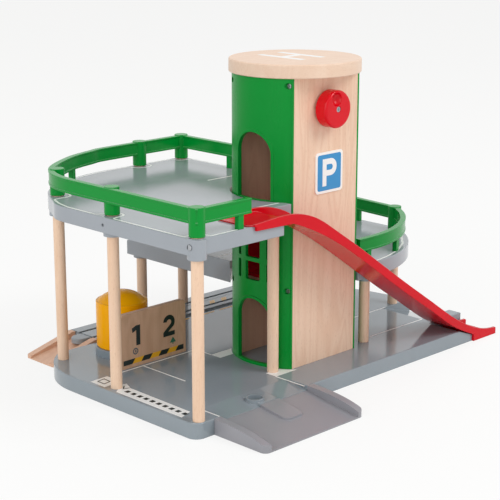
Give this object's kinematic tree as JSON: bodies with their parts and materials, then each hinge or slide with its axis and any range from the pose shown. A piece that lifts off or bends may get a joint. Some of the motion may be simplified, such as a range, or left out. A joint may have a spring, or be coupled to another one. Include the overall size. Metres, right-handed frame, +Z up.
{
  "type": "toy parking garage",
  "caption": "Toy parking garage: lacquered base with ramps, two raised floors on wooden pillars, green fences, a round lift tower worked by a knob, and a car slide.",
  "frame": {"origin": "on the floor under the middle of the lift tower", "axes": "+X along the garage towards the foot of the slide, +Y to the far side with the train track, +Z up"},
  "size_m": [0.4372, 0.3575, 0.31],
  "materials": {
    "base_grey": "grey lacquer with printed lines",
    "ramp_grey": "grey, satin",
    "ramp_wood": "planed beech",
    "guide_grey": "grey, satin",
    "wall_wood": "clear lacquered beech ply",
    "back_wall_wood": "clear lacquered beech ply",
    "shell_green": "moulded, glossy",
    "roof_wood": "planed beech with a printed landing mark",
    "peg_wood": "turned",
    "knob_red": "moulded, glossy",
    "shaft_steel": "drawn",
    "screw_steel": "zinc plated",
    "bush_plastic": "moulded",
    "drum_plastic": "moulded",
    "cabin_red": "moulded, glossy",
    "shoe_plastic": "moulded",
    "floor_grey": "grey, glossy, with printed lines",
    "fence_green": "moulded, glossy",
    "pillar_wood": "turned beech",
    "slide_red": "moulded, glossy",
    "tank_yellow": "moulded, glossy",
    "plinth_grey": "grey, satin",
    "board_wood": "printed beech ply",
    "sign_blue": "printed plate"
  },
  "bodies": {
    "garage": {"base_board": "base_grey", "front_ramp": "ramp_grey", "track_ramp": "ramp_wood", "track_guide": "guide_grey", "front_wall": "wall_wood", "back_wall": "back_wall_wood", "left_shell": "shell_green", "right_shell": "shell_green", "roof_disc": "roof_wood", "roof_pegs": "peg_wood", "shaft_bushes": "bush_plastic", "top_floor": "floor_grey", "middle_floor": "floor_grey", "left_fence": "fence_green", "right_fence": "fence_green", "pillar_front_left": "pillar_wood", "pillar_left": "pillar_wood", "pillar_back_left": "pillar_wood", "pillar_back": "pillar_wood", "pillar_back_mid": "pillar_wood", "pillar_tower": "pillar_wood", "pillar_right_front": "pillar_wood", "pillar_right": "pillar_wood", "pillar_back_right": "pillar_wood", "slide": "slide_red", "fuel_tank": "tank_yellow", "tank_plinth": "plinth_grey", "number_board": "board_wood", "board_pegs": "peg_wood", "sign_plate": "sign_blue", "shell_screws": "screw_steel", "floor_screws": "screw_steel"},
    "cabin": {"lift_cabin": "cabin_red", "cabin_shoes": "shoe_plastic"},
    "winder": {"knob": "knob_red", "knob_shaft": "shaft_steel", "knob_screw": "screw_steel", "winding_drum": "drum_plastic"}
  },
  "joints": [
    {"name": "lift_slide", "type": "slide", "parent": "garage", "child": "cabin", "axis": [0, 0, 1], "range_m": [-0.0805, 0.0805]},
    {"name": "knob_turn", "type": "hinge", "parent": "garage", "child": "winder", "pos_m": [0, 0, 0.2654], "axis": [0, -1, 0], "range_deg": [-390, 390]}
  ],
  "couplings": [
    {"joint": "knob_turn", "follows": "lift_slide", "rad_per_m": 83.333}
  ]
}
